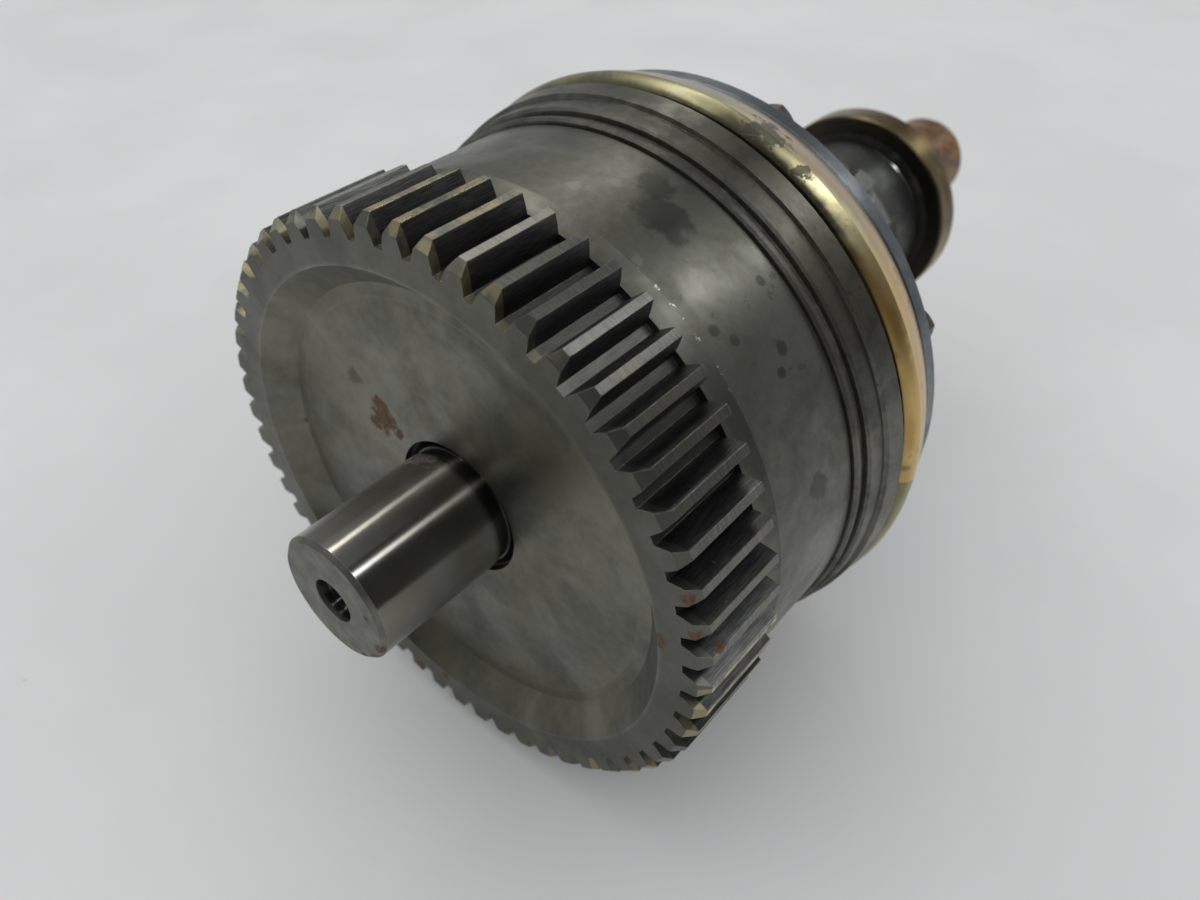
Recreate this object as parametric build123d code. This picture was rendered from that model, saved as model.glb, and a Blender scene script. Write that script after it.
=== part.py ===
from build123d import *
import math
import os

# Coaxial planetary gearbox unit.
# +X runs along the common axis from the front journal to the rear bearing, +Z is up.
# The origin is on the axis, in the plane of the big gear's front face.
# Lengths are in millimetres. Stations are distances along X, radii are from the axis.

# ---------------------------------------------------------------- driving dimensions
MODULE_OUTER = 2.5
TEETH_OUTER = 55
OUTER_PHASE = 95.18
GEAR_WIDTH = 24.5
TOOTH_END_CHAMFER = 2.1
PRESSURE_ANGLE = math.radians(20)

MODULE_INNER = 2.0
TEETH_RING = 51
TEETH_PLANET = 18
TEETH_SUN = 15
PLANET_COUNT = 3
PLANET_WIDTH = 14.0
BACKLASH = 0.20
ROOT_FACTOR = 1.25
RING_ADDENDUM = 0.8
OUTER_TOOTH_THINNING = 0.08

MODULE_PINION = 6.0
TEETH_PINION = 8
PINION_PHASE = 138.0
PINION_HOB_R = 40.0

SHAFT_R = 15.0
JOURNAL_END = -29.0
RELIEF_R = 14.6
RELIEF_FRONT = 4.0
RELIEF_REAR = 7.0
BEARING_SHOULDER_R = 18.5
SHAFT_CHAMFER = 1.0
CENTRE_HOLE_R = 5.28
CENTRE_HOLE_DEPTH = 2.5
TAPPED_R = 4.25
TAPPED_START = 4.5
TAPPED_DEPTH = 24.0
DRILL_TIP_DEPTH = 26.5
PILOT_R = 9.5
PILOT_DEPTH = 13.0
NOSE_R = 7.4
NOSE_LENGTH = 10.0

WEB_FRONT = 6.0
WEB_REAR = 15.0
WEB_BORE_R = 17.0
RECESS_LIP_R = 60.0
RECESS_FLOOR_R = 54.0
NECK_R = 67.4
NECK_REAR = 25.6
NECK_SAG = 0.257
DRUM_FRONT = 29.6
DRUM_REAR = 57.5
DRUM_R = 68.5
DRUM_BORE_R = 57.5
BOSS_R = 33.0
BOSS_REAR = 31.0
CHAMBER_FRONT_R = 51.0
CHAMBER_R = 55.0

SEAL_R = 21.0
SEAL_WIDTH = 7.0
FRONT_BEARING_R = 27.5
FRONT_BEARING_WIDTH = 13.0

FLANGE_FRONT = 32.0
FLANGE_REAR = 39.0
CARRIER_R = 46.0
PLATE_FRONT = 55.0
PLATE_REAR = 60.0
PIN_R = 5.0
BUSH_R = 7.0
SPACER_R = 7.0
SCREW_R = 2.5
SCREW_HEAD_R = 4.25
SCREW_HEAD_HEIGHT = 5.0
SCREW_HEAD_SINK = 0.2
SCREW_CLEARANCE = 0.25
HEX_SOCKET_R = 2.3
HEX_SOCKET_DEPTH = 2.5
WASHER_R = 9.0
WASHER_THICKNESS = 0.8
RUNNING_GAP = 0.10

BALL_FRACTION = 0.29
BALL_WIDTH_LIMIT = 0.34
LAND_FRACTION = 0.62
CAGE_HALF_WIDTH = 1.2
CAGE_HALF_THICKNESS = 0.25
CIRCLIP_THICKNESS = 1.3
CIRCLIP_HEIGHT = 2.6
CIRCLIP_PLAY = 0.1
CIRCLIP_GAP = (6.0, 12.0, 9.0)
INNER_GROOVE_DEPTH = 1.2
OUTER_GROOVE_DEPTH = 0.7

GASKET_FRONT_R = 68.3
GASKET_REAR_R = 69.3
SPACER_RING_FRONT = 58.0
SPACER_RING_REAR = 60.3
SPACER_RING_R = 69.8
SPACER_RING_BORE_R = 54.0
BAND_FRONT = 61.5
BAND_REAR = 73.3
BAND_FRONT_R = 71.0
BAND_STEP = 67.0
BAND_REAR_R = 73.0
BAND_CHAMFER = 0.6
FLANGE_CAVITY_R = 48.0
FLANGE_THROAT_R = 33.0
REAR_NECK_R = 68.3
ZINC_FRONT = 75.5
ZINC_CREST = 79.0
ZINC_REAR = 89.8
ZINC_LIP_R = 71.8
ZINC_CREST_R = 74.0
ZINC_EDGE_R = 70.2
COVER_FRONT = 90.5
COVER_REAR = 95.0
COVER_R = 70.0
COVER_CHAMFER = 0.5
SPIGOT_R = 37.4

HUB_BEARING_FRONT = 68.0
HUB_BEARING_BORE_R = 22.5
HUB_BEARING_R = 37.5
HUB_BEARING_WIDTH = 16.0
SEAL_LAND_R = 26.0
REAR_SEAL_R = 34.0
REAR_SEAL_FRONT = 86.5

BOLT_COUNT = 7
BOLT_PHASE = 105.0
BOLT_CIRCLE_R = 63.8
BOLT_R = 3.0
BOLT_HEAD_R = 5.75
BOLT_HEAD_HEIGHT = 4.0
BOLT_TIP = 46.0
BOLT_CLEARANCE = 0.3

PINION_FRONT = 97.0
PINION_TOOTH_END = 146.0
PINION_TOOTH_ROUND = 154.0
PINION_COLLAR_FRONT = 163.0
PINION_COLLAR_REAR = 183.0
PINION_COLLAR_R = 24.0
PINION_CHAMFER = 0.8
END_BEARING_FRONT = 185.0
END_BEARING_WIDTH = 9.0
END_BEARING_R = 31.0
END_SEAT_R = 17.5
SHIELD_SINK = 0.2
SHIELD_THICKNESS = 0.4
END_SHOULDER_R = 21.0
STUB_R = 14.0
STUB_END = 242.0
OVERCUT = 1.0

# ---------------------------------------------------------------- derived dimensions
OUTER_PITCH_R = MODULE_OUTER * TEETH_OUTER / 2
OUTER_TIP_R = OUTER_PITCH_R + MODULE_OUTER
OUTER_ROOT_R = OUTER_PITCH_R - ROOT_FACTOR * MODULE_OUTER
CENTRE_DISTANCE = MODULE_INNER * (TEETH_SUN + TEETH_PLANET) / 2
SUN_TIP_R = MODULE_INNER * (TEETH_SUN + 2) / 2
SUN_ROOT_R = MODULE_INNER * (TEETH_SUN - 2 * ROOT_FACTOR) / 2
PLANET_TIP_R = MODULE_INNER * (TEETH_PLANET + 2) / 2
PLANET_ROOT_R = MODULE_INNER * (TEETH_PLANET - 2 * ROOT_FACTOR) / 2
RING_ROOT_R = MODULE_INNER * (TEETH_RING + 2 * ROOT_FACTOR) / 2
RING_TIP_R = MODULE_INNER * (TEETH_RING / 2 - RING_ADDENDUM)
PINION_TIP_R = MODULE_PINION * (TEETH_PINION + 2) / 2
PINION_ROOT_R = MODULE_PINION * (TEETH_PINION - 2 * ROOT_FACTOR) / 2
FRONT_BEARING_FRONT = WEB_REAR
FRONT_BEARING_REAR = FRONT_BEARING_FRONT + FRONT_BEARING_WIDTH
HUB_BEARING_REAR = HUB_BEARING_FRONT + HUB_BEARING_WIDTH
END_BEARING_REAR = END_BEARING_FRONT + END_BEARING_WIDTH
PLANET_FRONT = (FLANGE_REAR + PLATE_FRONT - PLANET_WIDTH) / 2
PLANET_REAR = PLANET_FRONT + PLANET_WIDTH
PLANET_ANGLES = [360.0 * k / PLANET_COUNT for k in range(PLANET_COUNT)]
SPACER_ANGLES = [angle + 180.0 / PLANET_COUNT for angle in PLANET_ANGLES]


# ---------------------------------------------------------------- general helpers
def turned(*points):
    """A solid turned about the X axis from a closed outline of (station, radius) points."""
    outline = make_face(Polyline(*points, close=True))
    return revolve(outline, Axis.X, 360)


def tube(x0, x1, inner, outer, chamfer_size=0.0):
    """A plain ring, with its two outer edges chamfered if a size is given."""
    if chamfer_size == 0:
        return turned((x0, inner), (x0, outer), (x1, outer), (x1, inner))
    return turned(
        (x0, inner), (x0, outer - chamfer_size), (x0 + chamfer_size, outer),
        (x1 - chamfer_size, outer), (x1, outer - chamfer_size), (x1, inner),
    )


def rod(x0, x1, radius, chamfer_size=0.0):
    """A solid round bar on the axis."""
    return tube(x0, x1, 0, radius, chamfer_size)


def place(shape, radius, angle):
    """Shift a shape off the axis by a radius, then turn it about X to an angle from +Y."""
    return Rot(angle, 0, 0) * (Pos(0, radius, 0) * shape)


def polar(radius, angle):
    """A point of a cross-section, in local YZ coordinates."""
    return (radius * math.cos(angle), radius * math.sin(angle))


def involute(angle):
    return math.tan(angle) - angle


def tooth_half_angle(radius, teeth, module, thickness):
    """Half the angle that a tooth spans at a radius, for an involute flank."""
    pitch_r = module * teeth / 2
    base_r = pitch_r * math.cos(PRESSURE_ANGLE)
    local = math.acos(min(1.0, base_r / radius))
    return thickness / (2 * pitch_r) + involute(PRESSURE_ANGLE) - involute(local)


def gear_prism(x0, x1, teeth, module, tip_r, root_r, phase, thickness):
    """A straight-toothed gear blank: one involute tooth outline, repeated round the axis."""
    pitch = 2 * math.pi / teeth
    mid_r = (tip_r + max(root_r, module * teeth / 2 * math.cos(PRESSURE_ANGLE))) / 2
    root_half = tooth_half_angle(root_r, teeth, module, thickness)
    mid_half = tooth_half_angle(mid_r, teeth, module, thickness)
    tip_half = tooth_half_angle(tip_r, teeth, module, thickness)
    edges = []
    for k in range(teeth):
        centre = math.radians(phase) + k * pitch
        start = polar(root_r, centre - root_half)
        rise = polar(tip_r, centre - tip_half)
        fall = polar(tip_r, centre + tip_half)
        end = polar(root_r, centre + root_half)
        following = polar(root_r, centre + pitch - root_half)
        edges.append(ThreePointArc(start, polar(mid_r, centre - mid_half), rise))
        edges.append(ThreePointArc(rise, polar(tip_r, centre), fall))
        edges.append(ThreePointArc(fall, polar(mid_r, centre + mid_half), end))
        edges.append(ThreePointArc(end, polar(root_r, centre + pitch / 2), following))
    outline = make_face(edges)
    return extrude(Plane.YZ.offset(x0) * outline, x1 - x0)


def pattern(shape, radius, angles):
    """Separate copies of one shape, spread round the axis."""
    return Compound([place(shape, radius, angle).solid() for angle in angles])


def evenly(count, phase=0.0):
    return [phase + 360.0 * k / count for k in range(count)]


# ---------------------------------------------------------------- ball bearings
def bearing_sizes(width, bore_r, outside_r):
    """Pitch radius and ball radius of a deep-groove ball bearing."""
    pitch_r = (bore_r + outside_r) / 2
    ball_r = min((outside_r - bore_r) * BALL_FRACTION, width * BALL_WIDTH_LIMIT)
    return pitch_r, ball_r


def race_groove(x0, width, pitch_r, ball_r):
    """The ring-shaped hollow in which the balls run."""
    section = Pos(x0 + width / 2, pitch_r) * Circle(ball_r + RUNNING_GAP)
    return revolve(section, Axis.X, 360)


def bearing_inner(x0, width, bore_r, outside_r):
    pitch_r, ball_r = bearing_sizes(width, bore_r, outside_r)
    land_r = pitch_r - LAND_FRACTION * ball_r
    return tube(x0, x0 + width, bore_r, land_r, 0.4) - race_groove(x0, width, pitch_r, ball_r)


def bearing_outer(x0, width, bore_r, outside_r):
    pitch_r, ball_r = bearing_sizes(width, bore_r, outside_r)
    land_r = pitch_r + LAND_FRACTION * ball_r
    return tube(x0, x0 + width, land_r, outside_r, 0.6) - race_groove(x0, width, pitch_r, ball_r)


def bearing_balls(x0, width, bore_r, outside_r, count):
    pitch_r, ball_r = bearing_sizes(width, bore_r, outside_r)
    ball = Pos(x0 + width / 2, 0, 0) * Sphere(ball_r)
    return pattern(ball, pitch_r, evenly(count))


def bearing_cage(x0, width, bore_r, outside_r, count):
    """A thin ring with one round pocket for each ball."""
    pitch_r, ball_r = bearing_sizes(width, bore_r, outside_r)
    half = CAGE_HALF_WIDTH * ball_r
    thick = CAGE_HALF_THICKNESS * ball_r
    middle = x0 + width / 2
    cage = tube(middle - half, middle + half, pitch_r - thick, pitch_r + thick)
    for angle in evenly(count):
        cage -= place(Pos(middle, 0, 0) * Sphere(ball_r + RUNNING_GAP), pitch_r, angle)
    return cage


# ---------------------------------------------------------------- front shaft and carrier
def carrier_shaft():
    """Front journal, bearing seat and flange in one piece; its flange is the planet carrier."""
    c = SHAFT_CHAMFER
    shaft = turned(
        (JOURNAL_END, 0), (JOURNAL_END, SHAFT_R - c), (JOURNAL_END + c, SHAFT_R), (RELIEF_FRONT, SHAFT_R),
        (RELIEF_FRONT, RELIEF_R), (RELIEF_REAR, RELIEF_R), (RELIEF_REAR, SHAFT_R),
        (FRONT_BEARING_REAR, SHAFT_R), (FRONT_BEARING_REAR, BEARING_SHOULDER_R),
        (FLANGE_FRONT, BEARING_SHOULDER_R), (FLANGE_FRONT, CARRIER_R - c),
        (FLANGE_FRONT + c, CARRIER_R), (FLANGE_REAR, CARRIER_R), (FLANGE_REAR, 0),
    )
    centre_hole = turned(
        (JOURNAL_END - OVERCUT, 0), (JOURNAL_END - OVERCUT, CENTRE_HOLE_R),
        (JOURNAL_END + CENTRE_HOLE_DEPTH, CENTRE_HOLE_R), (JOURNAL_END + TAPPED_START, TAPPED_R),
        (JOURNAL_END + TAPPED_DEPTH, TAPPED_R), (JOURNAL_END + DRILL_TIP_DEPTH, 0),
    )
    pilot_bore = rod(FLANGE_REAR - PILOT_DEPTH, FLANGE_REAR + OVERCUT, PILOT_R)
    shaft = shaft - centre_hole - pilot_bore
    through = (FLANGE_FRONT - OVERCUT, FLANGE_REAR + OVERCUT)
    head_rear = FLANGE_FRONT + SCREW_HEAD_SINK + SCREW_HEAD_HEIGHT
    for angle in PLANET_ANGLES:
        shaft -= place(rod(*through, PIN_R), CENTRE_DISTANCE, angle)
    for angle in SPACER_ANGLES:
        shaft -= place(rod(*through, SCREW_R + SCREW_CLEARANCE), CENTRE_DISTANCE, angle)
        head_seat = rod(FLANGE_FRONT - OVERCUT, head_rear, SCREW_HEAD_R + SCREW_CLEARANCE)
        shaft -= place(head_seat, CENTRE_DISTANCE, angle)
    return shaft


def carrier_rear_plate():
    """Ring plate that holds the rear ends of the planet pins."""
    plate = tube(PLATE_FRONT, PLATE_REAR, SUN_TIP_R + 1.5, CARRIER_R, 0.8)
    through = (PLATE_FRONT - OVERCUT, PLATE_REAR + OVERCUT)
    for angle in PLANET_ANGLES:
        plate -= place(rod(*through, PIN_R), CENTRE_DISTANCE, angle)
    for angle in SPACER_ANGLES:
        plate -= place(rod(*through, SCREW_R), CENTRE_DISTANCE, angle)
    return plate


def planet_pins():
    return pattern(rod(FLANGE_FRONT + 0.5, PLATE_REAR - 0.5, PIN_R, 0.4), CENTRE_DISTANCE, PLANET_ANGLES)


def carrier_spacers():
    """Three sleeves that keep the two halves of the carrier apart."""
    sleeve = tube(FLANGE_REAR, PLATE_FRONT, SCREW_R + SCREW_CLEARANCE, SPACER_R)
    return pattern(sleeve, CENTRE_DISTANCE, SPACER_ANGLES)


def carrier_screws():
    """Socket-head screws that clamp the carrier together, heads sunk in the front flange."""
    head_front = FLANGE_FRONT + SCREW_HEAD_SINK
    head_rear = head_front + SCREW_HEAD_HEIGHT
    screw = rod(head_front, head_rear, SCREW_HEAD_R, 0.3) + rod(head_rear, PLATE_REAR - 0.5, SCREW_R)
    socket = extrude(Plane.YZ.offset(head_front) * RegularPolygon(HEX_SOCKET_R, 6), HEX_SOCKET_DEPTH)
    return pattern(screw - socket, CENTRE_DISTANCE, SPACER_ANGLES)


def thrust_washers():
    """A hard washer on each side of each planet gear."""
    front = tube(FLANGE_REAR, FLANGE_REAR + WASHER_THICKNESS, PIN_R, WASHER_R)
    rear = tube(PLATE_FRONT - WASHER_THICKNESS, PLATE_FRONT, PIN_R, WASHER_R)
    washers = [place(w, CENTRE_DISTANCE, angle).solid() for angle in PLANET_ANGLES for w in (front, rear)]
    return Compound(washers)


def pilot_bush():
    """Bronze bush in the carrier's bore that steadies the nose of the sun shaft."""
    return tube(FLANGE_REAR - PILOT_DEPTH + 1, FLANGE_REAR - 0.5, NOSE_R + RUNNING_GAP, PILOT_R)


# ---------------------------------------------------------------- planet gears
def planet_gear(angle):
    """Planet gear with a tooth gap facing the sun and another facing the ring gear."""
    thickness = math.pi * MODULE_INNER / 2 - BACKLASH / 2
    gap_phase = 180.0 / TEETH_PLANET
    wheel = gear_prism(
        PLANET_FRONT, PLANET_REAR, TEETH_PLANET, MODULE_INNER,
        PLANET_TIP_R, PLANET_ROOT_R, gap_phase, thickness,
    )
    wheel -= rod(PLANET_FRONT - OVERCUT, PLANET_REAR + OVERCUT, BUSH_R)
    return place(wheel, CENTRE_DISTANCE, angle)


def planet_bush(angle):
    bush = tube(PLANET_FRONT, PLANET_REAR, PIN_R + RUNNING_GAP, BUSH_R)
    return place(bush, CENTRE_DISTANCE, angle)


# ---------------------------------------------------------------- gear drum and its fittings
def drum_teeth():
    """The big spur gear, its tooth tips turned to a chamfer at the front."""
    thickness = math.pi * MODULE_OUTER / 2 - OUTER_TOOTH_THINNING
    teeth = gear_prism(
        0, GEAR_WIDTH, TEETH_OUTER, MODULE_OUTER,
        OUTER_TIP_R, OUTER_ROOT_R, OUTER_PHASE, thickness,
    )
    over_r = OUTER_TIP_R + 0.01
    tip_chamfer = turned(
        (-OVERCUT, 0), (-OVERCUT, over_r - TOOTH_END_CHAMFER - OVERCUT), (TOOTH_END_CHAMFER, over_r),
        (GEAR_WIDTH + OVERCUT, over_r), (GEAR_WIDTH + OVERCUT, 0),
    )
    return teeth & tip_chamfer


def drum_body():
    """Plain drum behind the teeth, its front running down to the neck in a hollow curve."""
    neck_middle = (NECK_REAR + DRUM_FRONT) / 2
    outline = [
        Polyline((NECK_REAR, NECK_R), (GEAR_WIDTH, NECK_R), (GEAR_WIDTH, 0), (DRUM_REAR, 0),
                 (DRUM_REAR, DRUM_R), (DRUM_FRONT, DRUM_R)),
        ThreePointArc((NECK_REAR, NECK_R), (neck_middle, NECK_R + NECK_SAG), (DRUM_FRONT, DRUM_R)),
    ]
    return revolve(make_face(outline), Axis.X, 360)


def web_recess():
    """The shallow dish in the gear's front face, its side swept in a curve to the web."""
    outline = [
        ThreePointArc((0, RECESS_LIP_R), (3.2, RECESS_LIP_R - 3.0), (WEB_FRONT, RECESS_FLOOR_R)),
        Polyline((WEB_FRONT, RECESS_FLOOR_R), (WEB_FRONT, 0), (-OVERCUT, 0),
                 (-OVERCUT, RECESS_LIP_R + 0.5), (0, RECESS_LIP_R)),
    ]
    return revolve(make_face(outline), Axis.X, 360)


def gear_drum():
    """Big spur gear, web, boss and drum wall, turned and cut from one forging."""
    circlip_front = FRONT_BEARING_REAR + CIRCLIP_PLAY
    circlip_rear = circlip_front + CIRCLIP_THICKNESS
    groove_r = FRONT_BEARING_R + INNER_GROOVE_DEPTH
    front_bore = turned(
        (WEB_FRONT - OVERCUT, 0), (WEB_FRONT - OVERCUT, WEB_BORE_R), (WEB_REAR - SEAL_WIDTH, WEB_BORE_R),
        (WEB_REAR - SEAL_WIDTH, SEAL_R), (WEB_REAR, SEAL_R), (WEB_REAR, FRONT_BEARING_R),
        (circlip_front, FRONT_BEARING_R), (circlip_front, groove_r),
        (circlip_rear, groove_r), (circlip_rear, FRONT_BEARING_R),
        (BOSS_REAR + 0.5, FRONT_BEARING_R), (BOSS_REAR + 0.5, 0),
    )
    gear_chamber = turned(
        (BOSS_REAR, 0), (BOSS_REAR, BOSS_R), (WEB_REAR + 3, BOSS_R), (WEB_REAR, BOSS_R + 3),
        (WEB_REAR, CHAMBER_FRONT_R), (WEB_REAR + 4, CHAMBER_R), (FLANGE_REAR, CHAMBER_R),
        (FLANGE_REAR, DRUM_BORE_R), (DRUM_REAR + OVERCUT, DRUM_BORE_R), (DRUM_REAR + OVERCUT, 0),
    )
    drum = drum_teeth() + drum_body() - web_recess() - front_bore - gear_chamber
    tapped_hole = rod(BOLT_TIP - OVERCUT, DRUM_REAR + OVERCUT, BOLT_R)
    for angle in evenly(BOLT_COUNT, BOLT_PHASE):
        drum -= place(tapped_hole, BOLT_CIRCLE_R, angle)
    return drum


def ring_gear():
    """Internal gear sleeve, pressed into the drum."""
    gap = math.pi * MODULE_INNER / 2 + BACKLASH / 2
    half_pitch = 180.0 / TEETH_RING
    sleeve = tube(FLANGE_REAR, DRUM_REAR, 10, DRUM_BORE_R)
    spaces = gear_prism(
        FLANGE_REAR - OVERCUT, DRUM_REAR + OVERCUT, TEETH_RING, MODULE_INNER,
        RING_ROOT_R, RING_TIP_R, half_pitch, gap,
    )
    return sleeve - spaces


def front_seal():
    """Rubber shaft seal in the web bore, with a lip towards the shaft."""
    front = WEB_REAR - SEAL_WIDTH
    return turned(
        (front, SHAFT_R + 1.5), (front, SEAL_R), (WEB_REAR, SEAL_R), (WEB_REAR, SHAFT_R + 3.5),
        (front + 1.5, SHAFT_R + 3.5), (front + 4.2, SHAFT_R + 1.6), (front + 3.4, SHAFT_R + RUNNING_GAP),
        (front + 2.6, SHAFT_R + RUNNING_GAP),
    )


def bearing_circlip():
    """Internal circlip that holds the front bearing in the boss."""
    front = FRONT_BEARING_REAR + CIRCLIP_PLAY
    inner = FRONT_BEARING_R - CIRCLIP_HEIGHT
    ring = tube(front, front + CIRCLIP_THICKNESS, inner, FRONT_BEARING_R + INNER_GROOVE_DEPTH)
    return ring - Pos(front, FRONT_BEARING_R, 0) * Box(*CIRCLIP_GAP)


def bolt_holes(x0, x1):
    """Clearance holes for the cover bolts, right through from one station to another."""
    hole = rod(x0 - OVERCUT, x1 + OVERCUT, BOLT_R + BOLT_CLEARANCE)
    return [place(hole, BOLT_CIRCLE_R, angle) for angle in evenly(BOLT_COUNT, BOLT_PHASE)]


def joint_gaskets():
    """Thin paper gaskets on both sides of the spacer ring."""
    front = tube(DRUM_REAR, SPACER_RING_FRONT, DRUM_BORE_R, GASKET_FRONT_R)
    rear = tube(SPACER_RING_REAR, BAND_FRONT, DRUM_BORE_R, GASKET_REAR_R)
    for hole in bolt_holes(DRUM_REAR, BAND_FRONT):
        front -= hole
        rear -= hole
    return Compound([front.solid(), rear.solid()])


def spacer_ring():
    """Ground steel ring that sets the end float of the ring gear sleeve."""
    ring = tube(SPACER_RING_FRONT, SPACER_RING_REAR, SPACER_RING_BORE_R, SPACER_RING_R, 0.6)
    for hole in bolt_holes(SPACER_RING_FRONT, SPACER_RING_REAR):
        ring -= hole
    return ring


def rear_flange():
    """Rear bearing housing: a stepped outer band, a neck for the plated ring and a bearing bore."""
    c = BAND_CHAMFER
    body = turned(
        (BAND_FRONT, FLANGE_CAVITY_R), (BAND_FRONT, BAND_FRONT_R - c), (BAND_FRONT + c, BAND_FRONT_R),
        (BAND_STEP, BAND_FRONT_R + 0.4), (BAND_STEP + 0.4, BAND_REAR_R - c), (BAND_REAR - c, BAND_REAR_R),
        (BAND_REAR, BAND_REAR_R - c), (BAND_REAR, REAR_NECK_R), (COVER_FRONT, REAR_NECK_R),
        (COVER_FRONT, HUB_BEARING_R), (HUB_BEARING_FRONT, HUB_BEARING_R),
        (HUB_BEARING_FRONT, FLANGE_THROAT_R), (BAND_FRONT + 2.5, FLANGE_THROAT_R),
        (BAND_FRONT + 2.5, FLANGE_CAVITY_R),
    )
    for hole in bolt_holes(BAND_FRONT, COVER_FRONT):
        body -= hole
    return body


def plated_ring():
    """Zinc-plated dust ring with a crowned outer face, clamped between housing and cover."""
    outline = [
        Line((ZINC_FRONT, REAR_NECK_R), (ZINC_FRONT, ZINC_LIP_R)),
        ThreePointArc(
            (ZINC_FRONT, ZINC_LIP_R), (ZINC_FRONT + 1.2, ZINC_CREST_R - 0.7), (ZINC_CREST, ZINC_CREST_R)
        ),
        ThreePointArc(
            (ZINC_CREST, ZINC_CREST_R), (ZINC_CREST + 5, ZINC_CREST_R - 1.3), (ZINC_REAR, ZINC_EDGE_R)
        ),
        Line((ZINC_REAR, ZINC_EDGE_R), (ZINC_REAR, REAR_NECK_R)),
        Line((ZINC_REAR, REAR_NECK_R), (ZINC_FRONT, REAR_NECK_R)),
    ]
    return revolve(make_face(outline), Axis.X, 360)


def cover_plate():
    """Rear cover with a spigot in the bearing bore and a seat for the shaft seal."""
    c = COVER_CHAMFER
    spigot_front = HUB_BEARING_REAR + 0.3
    cover = turned(
        (COVER_FRONT, SPIGOT_R), (COVER_FRONT, COVER_R - c), (COVER_FRONT + c, COVER_R),
        (COVER_REAR - c, COVER_R), (COVER_REAR, COVER_R - c), (COVER_REAR, REAR_SEAL_R),
        (REAR_SEAL_FRONT, REAR_SEAL_R), (REAR_SEAL_FRONT, REAR_SEAL_R - 2),
        (spigot_front, REAR_SEAL_R - 2), (spigot_front, SPIGOT_R),
    )
    for hole in bolt_holes(COVER_FRONT, COVER_REAR):
        cover -= hole
    return cover


def cover_bolts():
    """Seven hexagon bolts through cover, housing and spacer ring into the drum wall."""
    head = extrude(Plane.YZ.offset(COVER_REAR) * RegularPolygon(BOLT_HEAD_R, 6), BOLT_HEAD_HEIGHT)
    head_rear = COVER_REAR + BOLT_HEAD_HEIGHT
    crown = turned(
        (COVER_REAR - OVERCUT, 0), (COVER_REAR - OVERCUT, BOLT_HEAD_R + 1), (head_rear - 0.9, BOLT_HEAD_R),
        (head_rear, BOLT_HEAD_R - 1), (head_rear, 0),
    )
    bolt = (head & crown) + rod(BOLT_TIP, COVER_REAR, BOLT_R, 0.4)
    return pattern(bolt, BOLT_CIRCLE_R, evenly(BOLT_COUNT, BOLT_PHASE))


def rear_seal():
    """Rubber shaft seal in the cover, round the seal land of the sun shaft."""
    front = REAR_SEAL_FRONT
    return turned(
        (front, SEAL_LAND_R + 4.5), (front, REAR_SEAL_R), (COVER_REAR, REAR_SEAL_R),
        (COVER_REAR, SEAL_LAND_R + 1.5),
        (front + 4.6, SEAL_LAND_R + RUNNING_GAP), (front + 3.8, SEAL_LAND_R + RUNNING_GAP),
        (front + 3.2, SEAL_LAND_R + 1.6), (front + 6.5, SEAL_LAND_R + 4.5),
    )


# ---------------------------------------------------------------- sun shaft
def pinion_gaps():
    """Tooth spaces of the rear pinion, each running out along the radius of the cutting hob."""
    thickness = math.pi * MODULE_PINION / 2
    half_pitch = math.pi / TEETH_PINION
    over_r = PINION_TIP_R + 1.5
    base_r = MODULE_PINION * TEETH_PINION / 2 * math.cos(PRESSURE_ANGLE)
    mid_r = (base_r + PINION_TIP_R) / 2

    def side(radius):
        return half_pitch - tooth_half_angle(radius, TEETH_PINION, MODULE_PINION, thickness)

    root = side(base_r)
    outline = make_face([
        Line(polar(PINION_ROOT_R, -root), polar(PINION_ROOT_R, root)),
        Line(polar(PINION_ROOT_R, root), polar(base_r, root)),
        ThreePointArc(polar(base_r, root), polar(mid_r, side(mid_r)), polar(over_r, side(over_r))),
        ThreePointArc(polar(over_r, side(over_r)), (over_r, 0), polar(over_r, -side(over_r))),
        ThreePointArc(polar(over_r, -side(over_r)), polar(mid_r, -side(mid_r)), polar(base_r, -root)),
        Line(polar(base_r, -root), polar(PINION_ROOT_R, -root)),
    ])
    straight = extrude(Plane.YZ.offset(PINION_FRONT - 2) * outline, PINION_TOOTH_END - PINION_FRONT + 2)
    hob_axis = Axis((PINION_TOOTH_END, PINION_ROOT_R + PINION_HOB_R, 0), (0, 0, 1))
    run_out = revolve(Plane.YZ.offset(PINION_TOOTH_END) * outline, hob_axis, 60)
    return [straight, run_out]


def pinion_blank():
    """The turned body that the pinion teeth are cut from: rounded tooth ends, then a collar."""
    c = PINION_CHAMFER
    outline = [
        Polyline(
            (PINION_COLLAR_FRONT, PINION_COLLAR_R), (PINION_COLLAR_REAR - c, PINION_COLLAR_R),
            (PINION_COLLAR_REAR, PINION_COLLAR_R - c), (PINION_COLLAR_REAR, 0), (PINION_FRONT, 0),
            (PINION_FRONT, PINION_TIP_R - c), (PINION_FRONT + c, PINION_TIP_R),
            (PINION_TOOTH_ROUND, PINION_TIP_R),
        ),
        ThreePointArc(
            (PINION_TOOTH_ROUND, PINION_TIP_R), (PINION_TOOTH_ROUND + 6, PINION_TIP_R - 1.9),
            (PINION_COLLAR_FRONT, PINION_COLLAR_R),
        ),
    ]
    blank = revolve(make_face(outline), Axis.X, 360)
    half_pitch = 180.0 / TEETH_PINION
    for angle in evenly(TEETH_PINION, PINION_PHASE + half_pitch):
        for cutter in pinion_gaps():
            blank -= Rot(angle, 0, 0) * cutter
    return blank


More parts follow.
